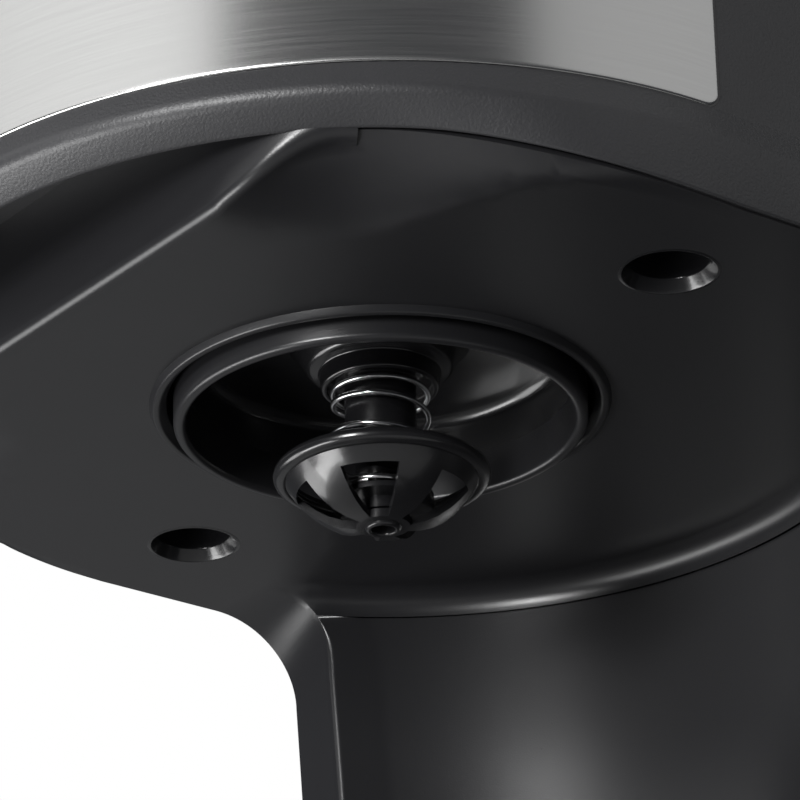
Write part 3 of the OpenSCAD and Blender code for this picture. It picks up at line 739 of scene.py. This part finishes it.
def add_bay_wall(shape):
    """The concave wall between the cheeks, and the small lip above it."""
    lines = []
    for i in range(CORNER_FIRST, len(CHEEK_T)):
        x_in, y_in, z = INNER_EDGE[i]
        first = bay_angle(x_in, y_in) + WALL_START
        lines.append([bay_point(a, WALL_R, z) for a in spaced(first, 180 - first, 72)])
    shape.strip(lines)
    top = INNER_EDGE[CORNER_FIRST][2]
    angles = COVE_ANGLES[CORNER_FIRST:]
    angles += [180 - a for a in reversed(angles[:-1])]
    lines = []
    for a in angles:
        full = smooth((min(a, 180 - a) - angles[0]) / BAY_LIP_FADE)
        edge = top - BAY_LIP_DROP * full - 0.01
        lip = rounded([(BAY_R, top, 0), (BAY_R + 0.02, edge, 0.45 * full),
                       (BAY_R + BAY_LIP_DEPTH, edge, 0.3 * full), (BAY_R + BAY_LIP_DEPTH, top + 0.6, 0)], 5)
        lines.append([bay_point(a, r, z) for r, z in lip])
    shape.strip(lines)


def wells_and_bead():
    """Raised bead round the basket hole, and the two deep screw wells with a small chamfer."""
    bead = Shape()
    z = PLATE_Z
    lathe(bead, rounded([(BEAD_R, z, 0), (BEAD_R - 0.55, z - 1.15, 0.5), (BEAD_R - 1.5, z - 1.05, 0.8),
                         (HOLE_R, z + 0.1, 0.4), (HOLE_R, z + 6, 0)]))
    piece("basket_hole_bead", bead, "black_liner", replaces=("underside_plate",), sharp=60)
    shape = Shape()
    profile = rounded([(WELL_R + WELL_CHAMFER, z, 0), (WELL_R + 0.3, z - 0.14, 0.2),
                       (WELL_R - 0.1, z + 0.5, 0.3), (WELL_R - 0.9, z + 1.7, 0.5),
                       (WELL_R - 1.1, z + 17, 1), (2.4, z + 18, 0.2), (2.2, z + 19.5, 0)])
    for s in (-1, 1):
        lathe(shape, profile, (s * WELL_X, WELL_Y), 64)
    piece("screw_wells", shape, "gloss_black", replaces=("underside_plate",), sharp=50)


# ---------------------------------------------------------------- outer body
def body_skin():
    """The whole outer wall: upper wall and rim round the head, and the flat sides."""
    shape = Shape()
    path = u_path(FADE_Y, 1.5)
    top = [rounded([(SHELL_T, BODY_Z - TOP_LIP, 0), (SHELL_T, BODY_Z, 0.5),
                    (upper_inset(p[1]), BODY_Z, TOP_ROLL), (upper_inset(p[1]), PLATE_Z + WALL_SEAM, 0)], 4)
           for p in path]
    shape.strip([[place(p, d, z) for d, z in line] for p, line in zip(path, top)])
    rim = [(p, rim_profile(p)) for p in path]
    shape.strip([[place(p, d, z) for d, z in line] for p, line in rim if p[1] <= FILLET_Y + EPS])
    for side in (1, -1):
        shoulder = [(p, line[:SHOULDER_POINTS] + [(0, SHOULDER_Z)]) for p, line in rim
                    if p[0] * side > 0 and p[1] >= FILLET_Y - EPS]
        shape.strip([[place(p, d, z) for d, z in line] for p, line in shoulder])
        add_side_panel(shape, side)
    return piece("body_skin", shape, "charcoal_shell", replaces=("body_shell",), sharp=40, weld=0.02)


def bay_edge():
    """The bay's edge in side view from the rim's end down to the foot: (y, z, normal y, normal z)."""
    edge = []
    for t in CHEEK_T:
        y, z = cheek_line(t)
        ny, nz = fillet_normal(t)
        edge.append((y - ny * SIDE_STEP, z - nz * SIDE_STEP, ny, nz))
    return edge


WINDOW_GAP = 0.3                 # clearance round the level window
WINDOW_DEPTH = 3.4


def add_side_panel(shape, side):
    """Flat side of the body beside and behind the bay, with its edge rounded towards the bay."""
    edge = bay_edge()
    roll = SIDE_ROLL
    lines = []
    for y, z, ny, nz in edge:
        line = [(side * (HEAD_R - roll * (1 - math.cos(math.radians(a)))),
                 y - ny * roll * (1 - math.sin(math.radians(a))),
                 z - nz * roll * (1 - math.sin(math.radians(a)))) for a in spaced(0, 90, 5)]
        line.append((side * (HEAD_R - SKIN_LIP), y, z))
        line.append((side * (HEAD_R - SKIN_LIP - 0.05), y - ny * 2, z - nz * 2))
        lines.append(line)
    shape.strip(lines)
    inner = [(line[0][1], line[0][2]) for line in lines]
    loop = inner + [(COVER_Y, BASE_Z + roll), (COVER_Y, BODY_Z - TOP_ROLL), (FADE_Y, BODY_Z - TOP_ROLL),
                    (FADE_Y, SHOULDER_Z), (inner[0][0], SHOULDER_Z)]
    holes = []
    if side > 0:
        y0, z0 = [v - WINDOW_GAP for v in low("level_window")[1:]]
        y1, z1 = [v + WINDOW_GAP for v in high("level_window")[1:]]
        holes.append([(y0, z0), (y1, z0), (y1, z1), (y0, z1)])
    verts, faces = fill([loop] + holes)
    shape.add([(side * HEAD_R, v.x, v.y) for v in verts], faces)
    for hole in holes:
        ring = hole + hole[:1]
        shape.strip([[(HEAD_R, y, z), (HEAD_R - WINDOW_DEPTH, y, z)] for y, z in ring])
    top = rounded([(0, BODY_Z - TOP_ROLL, 0), (0, BODY_Z, TOP_ROLL), (SHELL_T, BODY_Z, 0.5),
                   (SHELL_T, BODY_Z - TOP_LIP, 0)], 4)
    shape.strip([[(side * (HEAD_R - d), y, z) for d, z in top] for y in (FADE_Y, COVER_Y)])
    shape.strip([[(side * HEAD_R, COVER_Y, z), (side * (HEAD_R - SHELL_T), COVER_Y, z)]
                 for z in (BASE_Z + roll, BODY_Z)])
    foot = rounded([(0, BASE_Z + roll, 0), (0, BASE_Z, roll), (SHELL_T, BASE_Z, 0)], 5)
    shape.strip([[(side * (HEAD_R - d), y, z) for d, z in foot] for y in (inner[-1][0], COVER_Y)])


BAND_TURN = 90.5                 # degrees from the front to the band's ends
BAND_CORNER = 2.7
BAND_RETURN = 0.7                # how far the edges run back into the wall


def band_sheet(inset, grow, roll):
    """Sheet round the front of the head with rounded corners and rolled edges. It lies inset
    millimetres behind the head's outline and is larger by grow all round."""
    half = math.radians(BAND_TURN) * HEAD_R + grow
    corner = BAND_CORNER + grow
    edge = [0, 0.02, 0.08, 0.18, 0.35]
    stops = edge + [0.6, 0.9, 1.4, 2, corner]
    arcs = stops + spaced(corner, 2 * half - corner, 110)[1:-1] + [2 * half - s for s in reversed(stops)]
    lines = []
    for s in arcs:
        end = min(s, 2 * half - s)
        cut = corner - math.sqrt(max(0, corner ** 2 - (corner - min(end, corner)) ** 2))
        low_z, high_z = BAND_LOW - grow + cut, BAND_HIGH + grow - cut
        heights = [low_z + e for e in edge] + spaced(low_z + 0.8, high_z - 0.8, 10)
        heights += [high_z - e for e in reversed(edge)]
        a = (s - half) / HEAD_R
        line = [(HEAD_R - inset - BAND_RETURN, low_z)]
        for z in heights:
            depth = clamp(min(end, z - low_z, high_z - z) / roll)
            line.append((HEAD_R - inset - roll * (1 - math.sqrt(1 - (1 - depth) ** 2)), z))
        line.append((HEAD_R - inset - BAND_RETURN, high_z))
        lines.append([(r * math.sin(a), BREW_Y - r * math.cos(a), z) for r, z in line])
    return Shape().strip(lines)


def steel_band():
    """Brushed steel sheet with a rolled edge, on a slightly larger gloss black sheet behind it whose dark
    border paints the shade of the groove round the band.
    """
    piece("steel_sheet", band_sheet(inset=1.15, grow=0, roll=0.35), "brushed_steel",
          replaces=("steel_band",), sharp=70)
    # painted shade: this gloss black sheet, a little larger than the band, stands in for the shadow in the
    # groove round its edge
    piece("steel_groove_painted_shade", band_sheet(inset=1.37, grow=0.35, roll=0.02), "gloss_black",
          replaces=("body_shell",), sharp=40)


# ---------------------------------------------------------------- filter basket and drip-stop
SKIRT_R = 30.7                   # the skirt in the hole of the underside
SKIRT_IN = 28.6
SKIRT_LOW = PLATE_Z - 3.57
SKIRT_TOP = PLATE_Z + 12
CONE_R = 59                      # the cone above it, at its top
FLANGE_R = 63                    # the flange that the basket hangs by
GUIDE_LOW = PLATE_Z - 8          # lower end of the stem's guide tube
GUIDE_R = 4.05                   # its bore
WIRE_R = 0.45
COIL_R = 7.1
COIL_START = 2.84                # radians from +X to the top end of the wire


def basket():
    """The basket: rounded skirt, floor with a stepped boss and the guide tube, and the cone above,
    each as a profile of (radius, z, rounding)."""
    z = PLATE_Z
    skirt = Shape()
    lathe(skirt, rounded([(SKIRT_R, SKIRT_TOP, 0), (SKIRT_R, SKIRT_LOW, 0.85), (28.8, SKIRT_LOW, 0.85),
                          (SKIRT_IN, z + 3, 0)], 6))
    piece("basket_skirt", skirt, "black_liner", replaces=("filter_basket",), sharp=50)
    inside = Shape()
    lathe(inside, rounded([(SKIRT_IN, z + 3, 0), (28.4, z + 10, 2.5), (13.2, z + 10, 1.2),
                           (10.7, z + 5.4, 1.2), (9.0, z + 5.2, 0.4), (8.8, z + 2.4, 0.5),
                           (7.9, z + 2.4, 0.2), (7.8, z + 3.4, 0.2), (5.4, z + 3.4, 0.4),
                           (5.2, GUIDE_LOW, 0.5), (4.1, GUIDE_LOW, 0.3), (GUIDE_R, SKIRT_TOP, 0)], 5))
    piece("basket_floor", inside, "gloss_black", replaces=("filter_basket",), sharp=50)
    upper = Shape()
    top = high("filter_basket")[2]
    lathe(upper, rounded([(SKIRT_R, SKIRT_TOP, 0), (31.5, z + 18, 3), (CONE_R, top - 2, 1),
                          (FLANGE_R, top - 2, 0.4), (FLANGE_R, top, 0.8), (56.8, top, 0.8),
                          (29.5, z + 16, 3), (GUIDE_R, z + 12.5, 0)], 4))
    piece("basket_cone", upper, "black_liner", replaces=("filter_basket",), sharp=50)


def spring():
    """Compression spring with closed end coils, between the two bodies."""
    bottom = low("valve_spring")[2] + WIRE_R
    top = high("valve_spring")[2] - WIRE_R
    # (height, turns from the top end)
    turns = [(top, 0), (top - 1.0, 1), (top - 5.9, 2), (top - 10.8, 3), (top - 15.5, 4),
             (bottom + 0.2, 4.5), (bottom, 5.4)]
    path = []
    count = 330
    for i in range(count + 1):
        turn = turns[-1][1] * i / count
        k = next(j for j in range(len(turns) - 1) if turn <= turns[j + 1][1] + EPS)
        (z0, t0), (z1, t1) = turns[k], turns[k + 1]
        a = 2 * math.pi * turn + COIL_START
        path.append(Vector((COIL_R * math.cos(a), BREW_Y + COIL_R * math.sin(a),
                            mix(z0, z1, (turn - t0) / (t1 - t0)))))
    lines = []
    for i, p in enumerate(path):
        ahead = (path[min(i + 1, count)] - path[max(i - 1, 0)]).normalized()
        out = Vector((p.x, p.y - BREW_Y, 0)).normalized()
        up = ahead.cross(out).normalized()
        out = up.cross(ahead)
        lines.append([tuple(p + WIRE_R * (out * math.cos(b) + up * math.sin(b)))
                      for b in spaced(0, 2 * math.pi, 12)])
    shape = Shape().strip(lines)
    for end in (0, -1):
        ring = lines[end][:-1]
        shape.add(ring, [tuple(range(len(ring)))])
    coil = piece("spring_coil", shape, "bright_steel", body=None, replaces=("valve_spring",), sharp=60)
    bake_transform(coil)


WINDOWS = 5
WINDOW_TURN = 26.5               # direction of the first window's middle, from +X
WINDOW_HALF = 20.5               # half a window's angle
WINDOW_RINGS = (4, 9)            # the windows lie between these rings of the dome
CAP_TIP = PLATE_Z - 19.8
CAP_RISE = 7.7                   # from the tip up to the dome's edge
CAP_R = 14.6                     # the dome's edge, inside the rim
CAP_T = 1.3


def cap_height(r):
    """Outer face of the cap's dome."""
    return CAP_TIP + CAP_RISE * (r / CAP_R) ** 3


def cap():
    """Mushroom cap: thick rounded rim, domed wall with wedge windows, and a hub ring."""
    shape = Shape()
    radii = [2.4, 2.8, 3.2, 3.6, 4.0, 6.2, 8.2, 10, 11.4, 12.7, 13.5, CAP_R]
    steps = 180
    angles = [WINDOW_TURN + 360 * i / steps for i in range(steps)]
    first, last = WINDOW_RINGS

    def opened(i, k):
        """True when face k of sector i lies in a window."""
        a = (angles[i] + 180 / steps - WINDOW_TURN) % (360 / WINDOWS)
        a = min(a, 360 / WINDOWS - a)
        return a < WINDOW_HALF and first <= k < last

    def point(i, k, depth):
        a = math.radians(angles[i % steps])
        r = radii[k]
        return (r * math.cos(a), BREW_Y + r * math.sin(a), cap_height(r) + depth)

    cols = len(radii)
    outer = [point(i, k, 0) for i in range(steps) for k in range(cols)]
    inner = [point(i, k, CAP_T) for i in range(steps) for k in range(cols)]
    total = len(outer)
    # the neighbouring face on each side, and the two corners of a face on that side
    sides = (((1, 0), (3, 2)), ((-1, 0), (0, 1)), ((0, 1), (1, 2)), ((0, -1), (0, 3)))
    faces = []
    for i in range(steps):
        n = (i + 1) % steps
        for k in range(cols - 1):
            if opened(i, k):
                continue
            quad = (i * cols + k, i * cols + k + 1, n * cols + k + 1, n * cols + k)
            faces.append(quad)
            faces.append(tuple(total + q for q in reversed(quad)))
            for (di, dk), (a, b) in sides:
                if opened((i + di) % steps, k + dk):
                    faces.append((quad[a], quad[b], total + quad[b], total + quad[a]))
    shape.add(outer + inner, faces)
    z = PLATE_Z
    rim = [(CAP_R + 0.1 + 1.4 * math.cos(math.radians(a)), z - 11.5 + 1.2 * math.sin(math.radians(a)))
           for a in spaced(-130, 230, 24)]
    lathe(shape, rim)
    hub = rounded([(3.0, z - 18.9, 0), (2.5, z - 20.3, 0.5), (1.75, z - 20.3, 0.3), (1.7, z - 17.6, 0)], 4)
    lathe(shape, hub, steps=64)
    piece("drip_cap", shape, "gloss_black", body="drip_stop", replaces=("valve_cap",), sharp=38)


# ---------------------------------------------------------------- the other nodes
def dress_nodes():
    """Every CAD node that stays gets its slot's material and fine bevels."""
    slots = {s["node"]: s["material_slot"] for s in frame["record"]["subparts"]}
    for name, obj in frame["nodes"].items():
        mat = MATERIALS[slots[name]]
        if obj.material_slots:
            for slot in obj.material_slots:
                slot.material = mat
        else:
            obj.data.materials.append(mat)
        tidy = obj.modifiers.new("flat faces", "DECIMATE")
        tidy.decimate_type = "DISSOLVE"
        tidy.angle_limit = math.radians(0.5)
        edge = obj.modifiers.new("edges", "BEVEL")
        edge.width = 0.35 * MM
        edge.segments = 2
        edge.limit_method = "ANGLE"
        edge.angle_limit = math.radians(40)


# ---------------------------------------------------------------- stage
FLOOR_R = 260


def floor():
    """Plain pale floor. It ends short of the camera, which looks up from just below its level."""
    steps = 128
    ring = [(x, y, 0) for x, y in ring_points((0, 0), FLOOR_R, steps)]
    mesh = bpy.data.meshes.new("floor")
    mesh.from_pydata([Vector(p) * MM for p in ring], [], [tuple(range(steps))])
    obj = bpy.data.objects.new("floor", mesh)
    bpy.context.scene.collection.objects.link(obj)
    mesh.materials.append(plastic("floor_paper", (0.82, 0.82, 0.81), 0.7, grain=1.5, bump=0.05, tint=0.01))


def area(name, where, aim, size, power):
    """A rectangular panel that faces the point aim."""
    light = bpy.data.lights.new(name, "AREA")
    light.shape = "RECTANGLE"
    light.size, light.size_y = size
    light.energy = power
    obj = bpy.data.objects.new(name, light)
    bpy.context.scene.collection.objects.link(obj)
    obj.location = where
    obj.rotation_euler = (Vector(aim) - Vector(where)).to_track_quat("-Z", "Y").to_euler()


def lights():
    """Large soft panels: (name, azimuth, elevation, distance, width and height, radiance)."""
    head = Vector((0, BREW_Y * MM, PLATE_Z * MM))
    panels = (("left_front", -103, 30, 2.1, (2.4, 1.1), 1.1),
              ("right_side", 28, 30, 2.1, (2.2, 1.1), 0.5),
              ("front_strip", -70, 4, 2.0, (0.5, 0.7), 22.0),
              ("bay_strip", -69, -7, 2.0, (0.25, 0.45), 70.0),
              ("front_ground", -116, -42, 1.5, (0.9, 0.6), 12.0),
              ("rim_ground", -150, -31, 1.8, (0.8, 0.7), 5.0),
              ("left_ground", 144, -26, 2.2, (2.2, 1.4), 0.2),
              ("top", 90, 80, 1.7, (1.4, 1.4), 1.2))
    for name, azimuth, elevation, distance, size, radiance in panels:
        a, e = math.radians(azimuth), math.radians(elevation)
        where = head + distance * Vector((math.cos(a) * math.cos(e), math.sin(a) * math.cos(e), math.sin(e)))
        area(name, where, head, size, radiance * math.pi * size[0] * size[1])


def world():
    """Pure white behind the object, and a softer, dimmer surround for light and reflections."""
    scene_world = bpy.data.worlds.new("studio")
    bpy.context.scene.world = scene_world
    scene_world.use_nodes = True
    nodes, links = scene_world.node_tree.nodes, scene_world.node_tree.links
    nodes.clear()
    out = nodes.new("ShaderNodeOutputWorld")
    pick = nodes.new("ShaderNodeMixShader")
    rays = nodes.new("ShaderNodeLightPath")
    dim = nodes.new("ShaderNodeBackground")
    dim.inputs["Color"].default_value = (0.9, 0.93, 1.0, 1)
    dim.inputs["Strength"].default_value = 0.06
    white = nodes.new("ShaderNodeBackground")
    white.inputs["Color"].default_value = (1, 1, 1, 1)
    white.inputs["Strength"].default_value = 1.0
    links.new(rays.outputs["Is Camera Ray"], pick.inputs["Fac"])
    links.new(dim.outputs["Background"], pick.inputs[1])
    links.new(white.outputs["Background"], pick.inputs[2])
    links.new(pick.outputs["Shader"], out.inputs["Surface"])
    bpy.context.scene.view_settings.view_transform = "Standard"


def camera():
    """The viewpoint: low in front, to the right, looking up under the head with a long lens."""
    data = bpy.data.cameras.new("camera")
    data.sensor_width = 36
    data.lens = 227.25
    data.clip_start = 0.01
    obj = bpy.data.objects.new("camera", data)
    bpy.context.scene.collection.objects.link(obj)
    right = Vector((0.59902, 0.80043, -0.02197))
    up = Vector((0.34701, -0.23477, 0.90801))
    back = right.cross(up).normalized()
    up = back.cross(right).normalized()
    turn = Matrix((right.normalized(), up, back)).transposed()
    obj.matrix_world = Matrix.Translation((0.54189, -0.44552, -0.10041)) @ turn.to_4x4()
    bpy.context.scene.camera = obj


camera()
dress_nodes()
underside()
wells_and_bead()
body_skin()
steel_band()
basket()
spring()
cap()
floor()
lights()
world()
